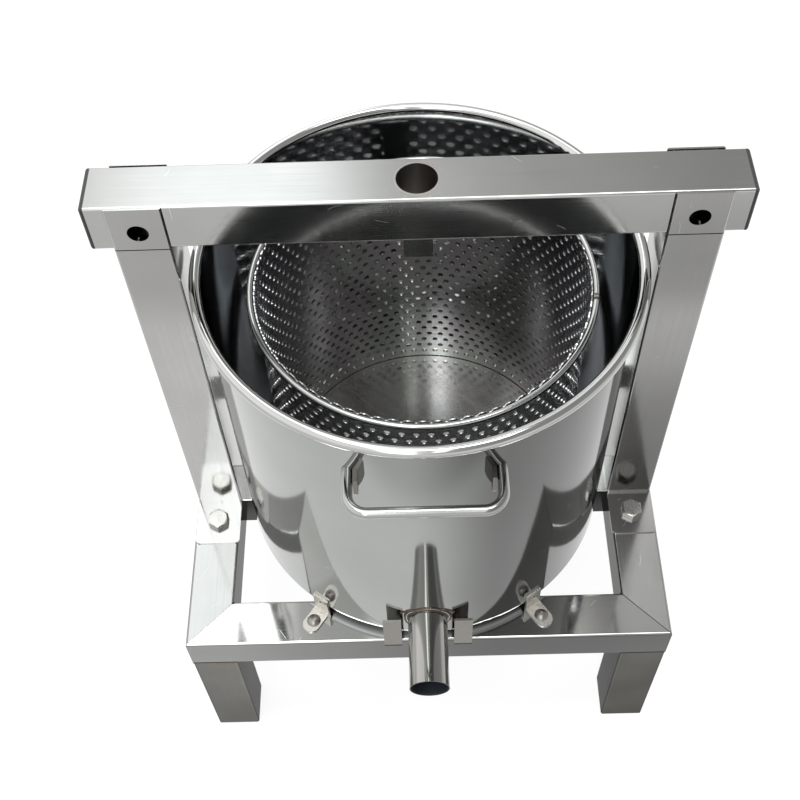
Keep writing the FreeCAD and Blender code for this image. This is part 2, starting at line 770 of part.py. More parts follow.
make_base()
for side, place_x in (("left", "-upright_x"), ("right", "upright_x")):
    make_upright(f"{side}_upright", place_x)
    make_fork(f"{side}_fork", place_x)
make_foot_bolts()
make_crossbeam()
make_pot()
make_spout()
make_handles()
make_clips()
make_basket()
doc.recompute()

for thing in doc.Objects:
    check(thing)
os.makedirs("parts", exist_ok=True)
for part in sub_parts:
    part.Shape.exportStep(f"parts/{part.Label}.step")
    box = part.Shape.BoundBox
    print(f"{part.Label}: {len(part.Shape.Solids)} solids, {part.Shape.Volume / 1000:.1f} cm3, "
          f"x {box.XMin:.1f} {box.XMax:.1f}, y {box.YMin:.1f} {box.YMax:.1f}, "
          f"z {box.ZMin:.1f} {box.ZMax:.1f}")
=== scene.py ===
import math

import bmesh
import bpy
from mathutils import Matrix, Vector


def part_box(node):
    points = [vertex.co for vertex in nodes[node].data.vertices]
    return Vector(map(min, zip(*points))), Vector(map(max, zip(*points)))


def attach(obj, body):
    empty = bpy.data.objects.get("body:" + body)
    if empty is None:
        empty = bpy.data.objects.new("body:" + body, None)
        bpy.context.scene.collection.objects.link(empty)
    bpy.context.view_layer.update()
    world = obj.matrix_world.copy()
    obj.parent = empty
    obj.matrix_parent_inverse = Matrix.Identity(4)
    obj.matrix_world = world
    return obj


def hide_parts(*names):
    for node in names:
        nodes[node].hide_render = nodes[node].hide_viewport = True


# A stainless-steel honey press, dressed round its CAD frame: brushed square tube, a polished pot
# with a rolled rim, and a perforated basket. Metres, +Z up, the spout at -Y.

bpy.context.scene.view_settings.view_transform = "Standard"
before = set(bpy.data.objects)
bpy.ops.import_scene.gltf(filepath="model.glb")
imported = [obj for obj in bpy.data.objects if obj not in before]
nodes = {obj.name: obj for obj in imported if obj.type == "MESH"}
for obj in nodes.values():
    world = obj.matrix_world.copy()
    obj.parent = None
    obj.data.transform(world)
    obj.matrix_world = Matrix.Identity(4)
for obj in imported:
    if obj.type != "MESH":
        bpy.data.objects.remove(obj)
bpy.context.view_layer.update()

MM = 0.001
POT_LOW, POT_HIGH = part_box("pot")
AXIS_Y = (POT_LOW.y + POT_HIGH.y) / 2
POT_RADIUS = 160.6 * MM         # to the middle of the pot's wall
HALF_WALL = 0.6 * MM
RAIL_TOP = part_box("front_rail")[1].z
BEAM_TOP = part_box("crossbeam")[1].z


# ---------------------------------------------------------------- camera

DOWN, ASIDE, ROLL = (math.radians(degrees) for degrees in (55.54, -1.53, -2.81))
CAMERA_PLACE = Vector((-0.0033, AXIS_Y - 0.57317, 1.16368))
FOCAL_LENGTH, SENSOR_WIDTH = 53.19, 36      # both in millimetres


def make_camera():
    """A high view from the front: 55 degrees down, and a little off level."""
    flat = math.cos(DOWN)
    forward = Vector((math.sin(ASIDE) * flat, math.cos(ASIDE) * flat, -math.sin(DOWN)))
    level = Vector((math.cos(ASIDE), -math.sin(ASIDE), 0))
    above = level.cross(forward)
    right = level * math.cos(ROLL) + above * math.sin(ROLL)
    up = above * math.cos(ROLL) - level * math.sin(ROLL)
    data = bpy.data.cameras.new("camera")
    data.sensor_width = SENSOR_WIDTH
    data.lens = FOCAL_LENGTH
    data.clip_start, data.clip_end = 0.01, 100
    camera = bpy.data.objects.new("camera", data)
    turned = Matrix((right, up, -forward)).transposed().to_4x4()
    camera.matrix_world = Matrix.Translation(CAMERA_PLACE) @ turned
    bpy.context.scene.collection.objects.link(camera)
    bpy.context.scene.camera = camera


# ---------------------------------------------------------------- node helpers

def put(value, socket):
    """Links value to socket if it is a socket, and else sets it."""
    if isinstance(value, bpy.types.NodeSocket):
        socket.id_data.links.new(value, socket)
    else:
        socket.default_value = value


def add(tree, kind, inputs=None, **settings):
    """A new node with its settings and inputs, and its first output."""
    made = tree.nodes.new("ShaderNode" + kind)
    for name, value in settings.items():
        setattr(made, name, value)
    for name, value in (inputs or {}).items():
        put(value, made.inputs[name])
    return made.outputs[0]


def maths(tree, operation, *values):
    """A sum, product or other Math operation on one or more numbers."""
    return add(tree, "Math", dict(enumerate(values)), operation=operation)


def times(tree, colour, factor):
    """A colour times another colour or a number."""
    return add(tree, "VectorMath", {0: colour, 1: factor}, operation="MULTIPLY")


def ramp(tree, fac, *stops):
    """A colour ramp; stops are (position, grey or colour)."""
    made = tree.nodes.new("ShaderNodeValToRGB")
    put(fac, made.inputs[0])
    spots = made.color_ramp.elements
    while len(spots) < len(stops):
        spots.new(0.5)
    for spot, (position, colour) in zip(spots, stops):
        spot.position = position
        spot.color = (*colour, 1) if isinstance(colour, tuple) else (colour, colour, colour, 1)
    return made.outputs[0]


def remap(tree, fac, low, high, to_low, to_high, shape="LINEAR"):
    """fac from low to high turned into to_low to to_high, and level beyond them."""
    inputs = {0: fac, 1: low, 2: high, 3: to_low, 4: to_high}
    return add(tree, "MapRange", inputs, clamp=True, interpolation_type=shape)


def spread(tree, cloud, to_low, to_high):
    """Noise, most of which lies between 0.3 and 0.7, spread from to_low to to_high."""
    return remap(tree, cloud, 0.3, 0.7, to_low, to_high)


def window(tree, value, low, high, soft):
    """1 between low and high, and 0 outside, with soft edges."""
    rise = remap(tree, value, low - soft, low + soft, 0.0, 1.0, "SMOOTHSTEP")
    fall = remap(tree, value, high - soft, high + soft, 1.0, 0.0, "SMOOTHSTEP")
    return maths(tree, "MULTIPLY", rise, fall)


def mix(tree, fac, first, second):
    """A number from first, where fac is 0, to second, where it is 1."""
    return add(tree, "Mix", {0: fac, 2: first, 3: second})


def blend(tree, fac, first, second):
    """A colour from first, where fac is 0, to second, where it is 1."""
    made = tree.nodes.new("ShaderNodeMix")
    made.data_type = "RGBA"
    put(fac, made.inputs[0])
    put(first if isinstance(first, bpy.types.NodeSocket) else (*first, 1), made.inputs[6])
    put(second if isinstance(second, bpy.types.NodeSocket) else (*second, 1), made.inputs[7])
    return made.outputs[2]


def surface(tree, kind="Object"):
    """Coordinates of the shaded point: its place in the object's frame, unless kind says otherwise."""
    return add(tree, "TexCoord").node.outputs[kind]


def split(tree, vector):
    """The x, y and z of a vector."""
    return add(tree, "SeparateXYZ", {0: vector}).node.outputs


def distance(tree, centre, keep):
    """How far the shaded point is from centre, on the two axes where keep is 1."""
    place = [-c for c in centre]
    level = add(tree, "Mapping", {"Vector": surface(tree), "Location": place, "Scale": keep})
    return add(tree, "VectorMath", {0: level}, operation="LENGTH").node.outputs["Value"]


def noise(tree, scale, detail=2.0, rough=0.5, offset=(0, 0, 0), turn=0.0):
    """Noise whose scale on each axis is in features per metre, turned about +Z."""
    place = surface(tree)
    if turn:
        place = add(tree, "Mapping", {"Vector": place, "Rotation": (0, 0, turn)})
    vector = add(tree, "Mapping", {"Vector": place, "Scale": scale, "Location": offset})
    return add(tree, "TexNoise", {"Vector": vector, "Scale": 1.0, "Detail": detail, "Roughness": rough})


def bumped(tree, shader, height, strength, depth):
    """Gives the shader a bump that follows height."""
    bump = add(tree, "Bump", {"Height": height, "Strength": strength, "Distance": depth})
    put(bump, shader.inputs["Normal"])


def new_material(name):
    """A new material, with its node tree and its shader."""
    made = bpy.data.materials.new(name)
    made.use_nodes = True
    tree = made.node_tree
    shader = tree.nodes["Principled BSDF"]
    return made, tree, shader


# ---------------------------------------------------------------- finishes

CLOUD = (9, 9, 9)               # soft mottling, in features per metre
GRAIN_DEPTH = 0.04 * MM
SCRATCH_PALE, SCRATCH_ROUGH = (0.9, 0.9, 0.88), 0.5
HALF_SCUFF, SCUFF_ROUGH = 6 * MM, 0.6       # half the width over which the scuffing fades
# Painted shade inside a bore: its colour and roughness there.
BORE_SHADE, BORE_ROUGH = (0.06, 0.066, 0.08), 0.7
BORE_SKIN = (0.9 * MM, 0.5 * MM)    # how far inside the outer radius the bore's tone is full, and none


def painted_shade(tree, sides, across=(-0.03, 0.07), foot=None, top=None, crown=(1.0, 1.0), parting=0.0):
    """A factor for the colour by the place on the object, which paints shade and highlight on it.

    It goes from sides[0] at the left of across to sides[1] at its right. It is 1 below foot. Above
    top it is crown[0] at the left of parting and crown[1] at its right.
    """
    foot_fade, half_parting = 2 * MM, 4 * MM
    x, _, z = split(tree, surface(tree))
    factor = remap(tree, x, *across, *sides, "SMOOTHSTEP")
    if foot:
        below = remap(tree, z, foot, foot + foot_fade, 1.0, 0.0)
        factor = mix(tree, below, factor, 1.0)
    if top:
        above = remap(tree, z, *top, 0.0, 1.0, "SMOOTHSTEP")
        crowned = remap(tree, x, parting - half_parting, parting + half_parting, *crown)
        factor = mix(tree, above, factor, crowned)
    return factor


def scratches(tree):
    """Up to 0.8 on short curved hairlines, and 0 elsewhere.

    The lines follow where a noise crosses its middle value, and a second noise keeps stretches of them.
    """
    middle, thin = 0.5, 0.003
    wander = noise(tree, (26, 26, 26), 0, offset=(5.3, 2.1, 7.7))
    curve = maths(tree, "ABSOLUTE", maths(tree, "SUBTRACT", wander, middle))
    line = remap(tree, curve, 0.0, thin, 1.0, 0.0)
    stretches = remap(tree, noise(tree, (45, 45, 45), 1), 0.6, 0.68, 0.0, 0.8)
    return maths(tree, "MULTIPLY", line, stretches)


def steel(name, colour, rough, grain=None, relief=0.15, turn=0.0, rough_span=0.08, mottle=0.06,
          metal=1.0, edge=1.0, worn=0.0, scuffed=None, painted_shading=None, bore=None, flank_shade=None):
    """Stainless steel, smooth or brushed, and mottled.

    grain is the features per metre on each axis, low along the brushing. relief is the strength of its
    bump, and turn turns it about +Z. edge is the tint at grazing angles. worn is how pale the scratches
    are. The steel is rougher up to the y of scuffed. painted_shading holds the settings of painted_shade,
    which paints shade and highlight by place. bore is the centre and radius of a hole along Y that is
    painted dark as shade, and flank_shade the number of an axis and the share of the colour that is left
    on faces across it, a painted shade.
    """
    made, tree, shader = new_material(name)
    cloud = noise(tree, CLOUD, 3)
    dark = tuple(c * (1 - 2 * mottle) for c in colour)
    pale = tuple(min(1, c * (1 + mottle)) for c in colour)
    tone = blend(tree, spread(tree, cloud, 0, 1), dark, pale)
    gloss = rough - rough_span / 2, rough + rough_span
    dulled = spread(tree, cloud, *gloss)
    if grain:
        streak = noise(tree, grain, 3, 0.6, turn=turn)
        fine = noise(tree, tuple(4 * g for g in grain), 2, 0.6, turn=turn)
        brushed = maths(tree, "MULTIPLY_ADD", fine, 0.5, maths(tree, "MULTIPLY", streak, 0.5))
        dulled = spread(tree, brushed, *gloss)
        tone = blend(tree, remap(tree, brushed, 0.35, 0.65, 0, 0.35), tone, dark)
        bumped(tree, shader, brushed, relief, GRAIN_DEPTH)
    if worn:
        mark = scratches(tree)
        dulled = mix(tree, mark, dulled, SCRATCH_ROUGH)
        tone = blend(tree, maths(tree, "MULTIPLY", mark, worn), tone, SCRATCH_PALE)
    if scuffed:
        y = split(tree, surface(tree))[1]
        front = remap(tree, y, scuffed - HALF_SCUFF, scuffed + HALF_SCUFF, 1.0, 0.0, "SMOOTHSTEP")
        dulled = mix(tree, front, dulled, SCUFF_ROUGH)
    # painted shade and highlight by place
    if painted_shading:
        tone = times(tree, tone, painted_shade(tree, **painted_shading))
    # painted shade: the inside of the bore painted dark
    if bore:
        centre, radius = bore
        full, none = (radius - inside for inside in BORE_SKIN)
        within = remap(tree, distance(tree, centre, (1, 0, 1)), full, none, 1.0, 0.0)
        tone = blend(tree, within, tone, BORE_SHADE)
        dulled = mix(tree, within, dulled, BORE_ROUGH)
    # painted shade on the faces that face across an axis
    if flank_shade:
        axis, share = flank_shade
        facing = maths(tree, "ABSOLUTE", split(tree, surface(tree, "Normal"))[axis])
        tone = times(tree, tone, remap(tree, facing, 0.5, 0.9, 1.0, share))
    put(tone, shader.inputs["Base Color"])
    put(dulled, shader.inputs["Roughness"])
    shader.inputs["Metallic"].default_value = metal
    shader.inputs["Specular Tint"].default_value = (edge, edge, edge, 1)
    return made


def pot_finish():
    """The pot's polished steel, with painted shade: dark outside, more so at the right, pale inside, a paler
    rolled rim as a painted highlight, and dark and dull on its floor as painted shade.
    """
    outer, inner, rolled, floor = (0.35, 0.36, 0.345), (0.7, 0.72, 0.74), (0.5, 0.5, 0.49), (0.2, 0.2, 0.2)
    made, tree, shader = new_material("pot_polished")
    z = split(tree, surface(tree))[2]
    cloud = noise(tree, CLOUD, 3)
    # painted shade: the outer wall darker than the inside, and darker still towards the right
    outside = times(tree, outer, painted_shade(tree, sides=(1.0, 0.3), across=(-0.015, 0.062)))
    radius = distance(tree, (0, AXIS_Y, 0), (1, 1, 0))
    within = remap(tree, radius, POT_RADIUS - 0.2 * MM, POT_RADIUS + 0.2 * MM, 1.0, 0.0)
    tone = blend(tree, within, outside, inner)
    # painted highlight: the rolled rim paler than the wall
    rim_foot = POT_HIGH.z - 9 * MM
    rim = remap(tree, z, rim_foot, rim_foot + 1 * MM, 0.0, 1.0)
    tone = blend(tree, rim, tone, rolled)
    # painted shade: the inside floor dark
    base = remap(tree, z, POT_LOW.z + 3 * MM, POT_LOW.z + 12 * MM, 1.0, 0.0, "SMOOTHSTEP")
    base = maths(tree, "MULTIPLY", base, within)
    tone = blend(tree, base, tone, floor)
    put(times(tree, tone, spread(tree, cloud, 0.93, 1.05)), shader.inputs["Base Color"])
    put(mix(tree, base, spread(tree, cloud, 0.05, 0.09), 0.35), shader.inputs["Roughness"])
    shader.inputs["Metallic"].default_value = 1.0
    bumped(tree, shader, noise(tree, CLOUD, 1), 1.0, 0.4 * MM)
    return made


def sheet_finish():
    """The perforated sheet: dark brushed steel inside the basket, as painted shade, and paler outside it."""
    violet, green = (0.27, 0.235, 0.27), (0.23, 0.255, 0.235)
    outer, groove = (0.75, 0.76, 0.75), (0.1, 0.1, 0.1)
    low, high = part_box("basket_wall")
    outside = (high.x - low.x) / 2
    made, tree, shader = new_material("basket_sheet")
    radius = distance(tree, ((low.x + high.x) / 2, (low.y + high.y) / 2, 0), (1, 1, 0))
    skin = remap(tree, radius, outside - 0.7 * MM, outside - 0.3 * MM, 0.0, 1.0)
    # painted shade: the inside of the sheet darker than its outside, with a violet and green tint
    tint = ramp(tree, noise(tree, (11, 11, 5), 2), (0.35, violet), (0.65, green))
    tone = blend(tree, skin, tint, outer)
    streak = noise(tree, (40, 40, 900), 3, 0.6)
    tone = blend(tree, remap(tree, streak, 0.4, 0.65, 0.0, 0.3), tone, groove)
    put(tone, shader.inputs["Base Color"])
    put(spread(tree, streak, 0.12, 0.24), shader.inputs["Roughness"])
    shader.inputs["Metallic"].default_value = 1.0
    bumped(tree, shader, streak, 0.1, GRAIN_DEPTH)
    return made


def cap_finish():
    """Black plastic with a fine grit."""
    made, tree, shader = new_material("cap_black")
    grit = noise(tree, (700, 700, 700), 2)
    put(ramp(tree, grit, (0.3, 0.012), (0.7, 0.03)), shader.inputs["Base Color"])
    put(spread(tree, grit, 0.45, 0.65), shader.inputs["Roughness"])
    bumped(tree, shader, grit, 0.2, 0.1 * MM)
    return made


# ---------------------------------------------------------------- stage

FLOOR_HALF = 12.0
FLOOR_PAINT, FLOOR_GLOW = 0.12, 0.9
# The floor is white, with painted shade ahead of the object, where its front faces mirror it. Along Y the
# grey starts, weakens and ends between these values, and along X it gets stronger from left to right.
GREY_START, GREY_WEAKER, GREY_END = (-0.42, -0.36), (-0.62, -0.48), (-1.9, -1.1)
WEAKER_SHARE, DARKEST = 0.6, 0.1
GREY_RISE, GREY_SHARES = (-0.1, 0.2), (0.28, 0.48)

# How bright the dome is along the x of a direction, from the left to the right. Its light is cool
# between COOL_RISE and COOL_FALL. Up to the z of HORIZON it fades into plain white.
DOME = [(-1.0, 1.6), (-0.3, 1.3), (-0.22, 3.0), (-0.09, 3.0), (-0.03, 1.2),
        (0.08, 0.8), (0.25, 0.5), (0.5, 0.4), (1.0, 0.5)]
BRIGHTEST = max(level for _, level in DOME)
WHITE, COOL = (1.0, 1.0, 1.0), (0.94, 0.98, 1.0)
COOL_RISE, COOL_FALL = (-0.28, -0.2), (-0.08, 0.0)
HORIZON = (0.08, 0.35)
# Soft lights overhead: the limits in x and in y of their directions, and how bright they are. Two
# strips hang ahead of the object, a strip and a thin line behind it, and a box above it.
SOFT_X, SOFT_Y = 0.015, 0.04
LIGHTS = [((-0.19, -0.065), (-0.82, -0.3), 4.0),
          ((0.05, 0.135), (-0.82, -0.3), 1.5),
          ((-0.35, 0.35), (0.5, 0.6), 1.5),
          ((0.114, 0.126), (0.3, 0.47), 5.0),
          ((-0.3, 0.3), (-0.11, 0.11), 11.0)]


def make_floor():
    """A white floor with painted shade ahead of the object, and that the camera and mirrors see lit."""
    mesh = bpy.data.meshes.new("floor")
    corners = [(-1, -1), (1, -1), (1, 1), (-1, 1)]
    mesh.from_pydata([(FLOOR_HALF * x, FLOOR_HALF * y, 0) for x, y in corners], [], [(0, 1, 2, 3)])
    floor = bpy.data.objects.new("floor", mesh)
    bpy.context.scene.collection.objects.link(floor)
    made, tree, shader = new_material("floor_paper")
    x, y, _ = split(tree, surface(tree))
    # painted shade on the floor ahead of the object
    ahead = remap(tree, y, *GREY_START, 1.0, 0.0, "SMOOTHSTEP")
    weaker = remap(tree, y, *GREY_WEAKER, WEAKER_SHARE, 1.0, "SMOOTHSTEP")
    ended = remap(tree, y, *GREY_END, 0.0, 1.0, "SMOOTHSTEP")
    rightward = remap(tree, x, *GREY_RISE, *GREY_SHARES, "SMOOTHSTEP")
    along = maths(tree, "MULTIPLY", ahead, weaker)
    grey = maths(tree, "MULTIPLY", along, maths(tree, "MULTIPLY", ended, rightward))
    tone = ramp(tree, grey, (0.0, 1.0), (1.0, DARKEST))
    put(blend(tree, FLOOR_PAINT, (0, 0, 0), tone), shader.inputs["Base Color"])
    shader.inputs["Roughness"].default_value = 0.9
    shader.inputs["Specular IOR Level"].default_value = 0.0
    rays = add(tree, "LightPath").node.outputs
    seen = maths(tree, "MAXIMUM", rays["Is Camera Ray"], rays["Is Glossy Ray"])
    seen = maths(tree, "MAXIMUM", seen, rays["Is Transmission Ray"])
    put(tone, shader.inputs["Emission Color"])
    put(maths(tree, "MULTIPLY", seen, FLOOR_GLOW), shader.inputs["Emission Strength"])
    mesh.materials.append(made)


def make_sky():
    """A soft dome that is bright at the left and grey at the right, with the lights overhead."""
    world = bpy.data.worlds.new("studio")
    world.use_nodes = True
    bpy.context.scene.world = world
    tree = world.node_tree
    x, y, z = split(tree, surface(tree, "Generated"))
    across = maths(tree, "MULTIPLY_ADD", x, 0.5, 0.5)

    def place(way):
        """The place on the ramps of the x of a direction."""
        return 0.5 + way / 2

    dome = ramp(tree, across, *[(place(way), level / BRIGHTEST) for way, level in DOME])
    height = remap(tree, z, *HORIZON, 0.0, 1.0, "SMOOTHSTEP")
    glow = mix(tree, height, 1.0, maths(tree, "MULTIPLY", dome, BRIGHTEST))
    above = maths(tree, "GREATER_THAN", z, 0.0)
    for (left, right), (front, back), level in LIGHTS:
        wide = window(tree, x, left, right, min(SOFT_X, (right - left) / 3))
        deep = window(tree, y, front, back, SOFT_Y)
        lit = maths(tree, "MULTIPLY", maths(tree, "MULTIPLY", wide, deep), above)
        glow = maths(tree, "MULTIPLY_ADD", lit, level, glow)
    tints = zip((*COOL_RISE, *COOL_FALL), (WHITE, COOL, COOL, WHITE))
    sky = tree.nodes["Background"].inputs
    put(ramp(tree, across, *[(place(way), tint) for way, tint in tints]), sky["Color"])
    put(glow, sky["Strength"])


# ---------------------------------------------------------------- pieces

def link(mesh, name, body, material):
    """A piece with a mesh and a material, which rides on a body."""
    piece = bpy.data.objects.new(name, mesh)
    bpy.context.scene.collection.objects.link(piece)
    mesh.materials.append(material)
    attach(piece, body)
    return piece


COLUMNS, ROWS = 76, 29
PITCH, HOLE = 8.81 * MM, 5.0 * MM       # from row to row, and across a hole
HOLE_ROUND = 12                 # points round a hole
TOP_ROW = 0.2 * MM              # how far the row of holes that the sheet's edge cuts lies above that edge
SPIN = math.radians(-1.0)       # the turn of the columns from the front
SHEET = 1.0 * MM                # how thick it is


class Skin:
    """One side of the basket's rolled sheet, as rows of cells with a round hole in each."""

    def __init__(self, mesh, radius, middle, low, high):
        self.mesh, self.radius, self.middle = mesh, radius, middle
        self.step = math.pi / COLUMNS
        first = high + TOP_ROW - PITCH * (ROWS + 0.5)
        self.levels = [low] + [first + PITCH * r for r in range(ROWS + 1)]
        self.grid = [[self.spot(k * self.step, z) for k in range(2 * COLUMNS)] for z in self.levels]
        self.rings = []
        self.edge = []
        for row in range(1, ROWS + 1):
            for column in range(COLUMNS):
                self.cell(row, 2 * column + (row + 1) % 2)
        self.foot_band()
        self.notched_band(high)

    def spot(self, angle, z):
        """A vertex on the skin, at an angle from the front."""
        turn = angle + SPIN
        x, y = self.middle
        return self.mesh.verts.new((x + self.radius * math.sin(turn), y - self.radius * math.cos(turn), z))

    def at(self, row, k):
        """The vertex k of a row of cell corners, counted round and round."""
        return self.grid[row][k % (2 * COLUMNS)]

    def cell(self, row, at):
        """Six faces between a hole and the cell round it."""
        above = row + 1
        around = [(row, at - 1), (row, at), (row, at + 1), (above, at + 1), (above, at), (above, at - 1)]
        middle = (self.levels[row] + self.levels[above]) / 2
        ring = []
        for i in range(HOLE_ROUND):
            turn = 2 * math.pi * i / HOLE_ROUND
            angle = at * self.step + HOLE / 2 * math.cos(turn) / self.radius
            ring.append(self.spot(angle, middle + HOLE / 2 * math.sin(turn)))
        self.rings.append(ring)
        near = []
        for r, k in around:
            way = math.atan2(self.levels[r] - middle, (k - at) * self.step * self.radius)
            near.append(round(way / (2 * math.pi) * HOLE_ROUND) % HOLE_ROUND)
        for i in range(6):
            after = (i + 1) % 6
            count = (near[after] - near[i]) % HOLE_ROUND
            arc = [ring[(near[i] + j) % HOLE_ROUND] for j in range(count + 1)]
            self.mesh.faces.new([self.at(*around[i]), self.at(*around[after])] + arc[::-1])

    def foot_band(self):
        """The plain band between the sheet's lower edge and the first row of cells."""
        for k in range(2 * COLUMNS):
            self.mesh.faces.new([self.at(0, k), self.at(0, k + 1), self.at(1, k + 1), self.at(1, k)])

    def notched_band(self, high):
        """The sheet's upper edge, which cuts across the tops of a row of holes."""
        half = math.sqrt((HOLE / 2) ** 2 - TOP_ROW ** 2)
        starts = [self.spot((2 * column + ROWS % 2 - 1) * self.step, high) for column in range(COLUMNS)]
        for column in range(COLUMNS):
            at = 2 * column + ROWS % 2
            notch = []
            for share in (-1, -0.5, 0, 0.5, 1):
                drop = math.sqrt((HOLE / 2) ** 2 - (share * half) ** 2) - TOP_ROW
                notch.append(self.spot(at * self.step + share * half / self.radius, high - drop))
            path = [starts[column]] + notch
            foot = [self.at(-1, k) for k in (at - 1, at, at + 1)]
            self.mesh.faces.new(foot + [starts[(column + 1) % COLUMNS]] + path[::-1])
            self.edge += path


def perforated_wall(material):
    """The basket's rolled sheet, with staggered round holes cut through it."""
    low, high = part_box("basket_wall")
    middle = (low.x + high.x) / 2, (low.y + high.y) / 2
    outside = (high.x - low.x) / 2
    mesh = bmesh.new()
    outer = Skin(mesh, outside, middle, low.z, high.z)
    count = len(mesh.faces)
    inner = Skin(mesh, outside - SHEET, middle, low.z, high.z)
    bmesh.ops.reverse_faces(mesh, faces=list(mesh.faces)[count:])
    loops = list(zip(outer.rings, inner.rings))
    loops.append((outer.edge, inner.edge))
    loops.append((outer.grid[0][::-1], inner.grid[0][::-1]))
    sharp = []
    for out, within in loops:
        for i in range(len(out)):
            after = (i + 1) % len(out)
            face = mesh.faces.new([out[after], out[i], within[i], within[after]])
            sharp += [face.edges[0], face.edges[2]]
    for face in mesh.faces:
        face.smooth = True
    for edge in sharp:
        edge.smooth = False
    data = bpy.data.meshes.new("perforated_wall")
    mesh.to_mesh(data)
    mesh.free()
    piece = link(data, "perforated_wall", "basket", material)
    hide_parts("basket_wall")


BAR_SIDES = 6


def bar(mesh, path, radius, ripple):
    """A bar along a path, closed if the path's ends meet, whose thickness ripples."""
    loop = (path[0] - path[-1]).length < 0.01 * MM
    spots = path[:-1] if loop else path
    count = len(spots)
    side = None
    rings = []
    for i, spot in enumerate(spots):
        before = spots[i - 1] if i or loop else spot
        after = spots[(i + 1) % count] if i < count - 1 or loop else spot
        along = (after - before).normalized()
        side = (side - along * side.dot(along)) if side else along.orthogonal()
        side.normalize()
        across = along.cross(side)
        swell = radius * (1 - ripple / 2 + ripple / 2 * math.sin(1.9 * i) * math.sin(0.31 * i + 1))
        turns = [2 * math.pi / BAR_SIDES * k for k in range(BAR_SIDES)]
        ways = [side * math.cos(t) + across * math.sin(t) for t in turns]
        rings.append([mesh.verts.new(spot + way * swell) for way in ways])
    for i in range(count if loop else count - 1):
        first, second = rings[i], rings[(i + 1) % count]
        for k in range(BAR_SIDES):
            mesh.faces.new([first[k - 1], first[k], second[k], second[k - 1]])
    if not loop:
        mesh.faces.new(rings[0])
        mesh.faces.new(rings[-1][::-1])


def dense(corners, step=0.6 * MM):
    """The path through the corners, as points about a step apart."""
    path = []
    for first, second in zip(corners, corners[1:]):
        count = max(2, round((second - first).length / step))
        path += [first.lerp(second, i / count) for i in range(count)]
    return path + [corners[-1]]


def circle(middle, radius, height, degrees):
    """Points of a level circle at the given degrees."""
    x, y = middle
    turns = [math.radians(d) for d in degrees]
    return [Vector((x + radius * math.cos(t), y + radius * math.sin(t), height)) for t in turns]


def beads(name, paths, radius, material, body="stand", ripple=0.3):
    """Weld beads along paths, half sunk in the steel, as one piece."""
    mesh = bmesh.new()
    for path in paths:
        bar(mesh, path, radius, ripple)
    bmesh.ops.recalc_face_normals(mesh, faces=mesh.faces)
    for face in mesh.faces:
        face.smooth = True
    data = bpy.data.meshes.new(name)
    mesh.to_mesh(data)
    mesh.free()
    return link(data, name, body, material)


def spout_beads(dark, pale):
    """The thin rippled beads round the spout, on the pot's wall, and a tail from them to each guide."""
    low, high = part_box("spout")
    middle = (low.x + high.x) / 2, (low.z + high.z) / 2
    spout_radius = (high.z - low.z) / 2
    outside = POT_RADIUS + HALF_WALL
    leave = math.radians(55)        # where the tails leave the ring, from level
    droop, sway = 5 * MM, 1.2 * MM

    def on_pot(across, z):
        """The point of the pot's outer face at this x and z."""
        return Vector((across, AXIS_Y - math.sqrt(outside ** 2 - across ** 2), z))

    def ring(extra, wobble):
        """A ring that stands extra outside the spout, more or less by wobble."""
        path = []
        for degrees in range(0, 361, 2):
            turn = math.radians(degrees)
            reach = spout_radius + extra + wobble * math.sin(5 * turn + 1)
            path.append(on_pot(middle[0] + reach * math.cos(turn), middle[1] + reach * math.sin(turn)))
        return path

    def tail(sign, goal):
        """A line that leaves the ring at the left, -1, or right, 1, and sinks to the x of goal."""
        reach = spout_radius + 1.4 * MM
        first = middle[0] + sign * reach * math.cos(leave)
        height = middle[1] + reach * math.sin(leave)
        path = []
        for i in range(41):
            t = i / 40
            path.append(on_pot(first + (goal - first) * t, height - droop * t ** 2 + sway * math.sin(5 * t)))
        return path

    tails = [tail(1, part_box("right_spout_guide")[0].x), tail(-1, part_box("left_spout_guide")[1].x)]
    rings = [ring(0.3 * MM, 0.0), ring(3.0 * MM, 0.5 * MM)]
    bead = beads("spout_bead", rings + tails, 1.2 * MM, dark)
    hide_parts("spout_weld")
    beads("spout_bead_crest", [ring(1.6 * MM, 0.3 * MM)], 1.0 * MM, pale)


def rail_seams(dark, pale):
    """The mitre seams on top of the base, with a weld knob at each inner corner."""
    low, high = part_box("front_rail")
    wide = high.y - low.y
    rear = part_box("rear_rail")[1].y
    top = RAIL_TOP - 0.15 * MM
    starts, stops = 0.6 * MM, wide - 0.3 * MM       # from the outer corner, on each axis
    corners = {"left": (low.x, low.y, 1, 1), "right": (high.x, low.y, -1, 1),
               "rear_left": (low.x, rear, 1, -1), "rear_right": (high.x, rear, -1, -1)}
    seams = {}
    knobs = []
    for name, (x, y, into_x, into_y) in corners.items():
        start = Vector((x + starts * into_x, y + starts * into_y, top))
        end = Vector((x + stops * into_x, y + stops * into_y, top))
        seams[name] = dense([start, end])
        back = Vector((into_x, into_y, 0)) * 1.2 * MM
        down = Vector((0, 0, 3 * MM))
        knobs.append(dense([end - back, end, end - down]))
    beads("mitre_seam_ground", [seams.pop("left")], 0.5 * MM, pale, ripple=0.1)
    beads("mitre_seams", list(seams.values()), 0.6 * MM, dark, ripple=0.6)
    beads("corner_knobs", knobs, 1.3 * MM, dark, ripple=0.5)


